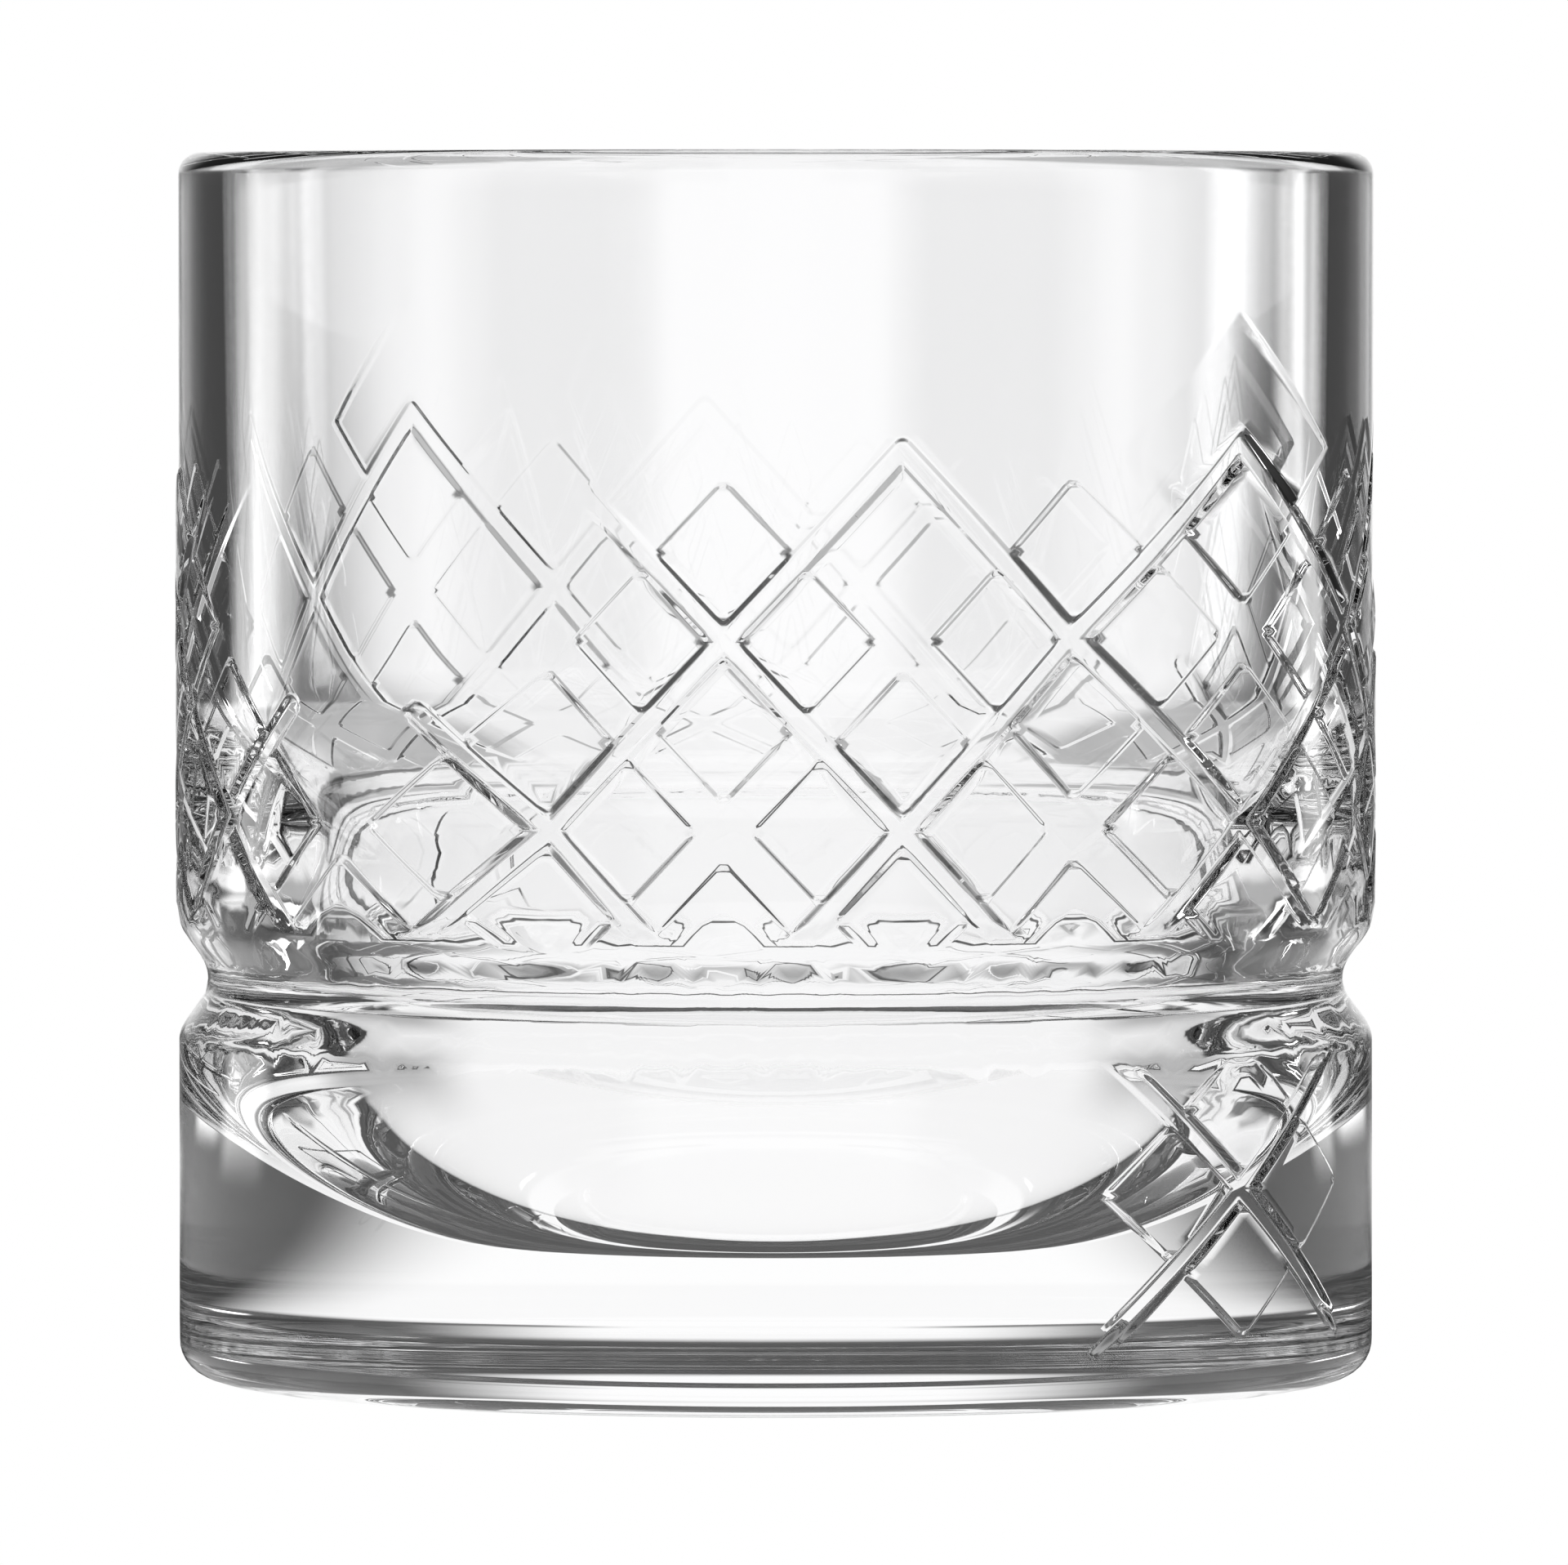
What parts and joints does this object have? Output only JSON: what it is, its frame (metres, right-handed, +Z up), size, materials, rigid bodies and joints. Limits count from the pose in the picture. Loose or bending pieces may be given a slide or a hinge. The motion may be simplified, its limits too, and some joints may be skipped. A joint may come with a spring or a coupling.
{
  "type": "whiskey tumbler",
  "caption": "Straight-sided old-fashioned glass with a thick base, a grooved waist and a raised diamond lattice around the wall.",
  "frame": {"origin": "middle of the foot's underside, on the surface the glass stands on", "axes": "+Z up along the glass's axis; -Y is the front and +X is to the right of it"},
  "size_m": [0.0877, 0.0877, 0.089],
  "materials": {
    "clear_glass": "clear, fire-polished"
  },
  "bodies": {
    "root": {"glass_tumbler": "clear_glass"}
  },
  "joints": []
}
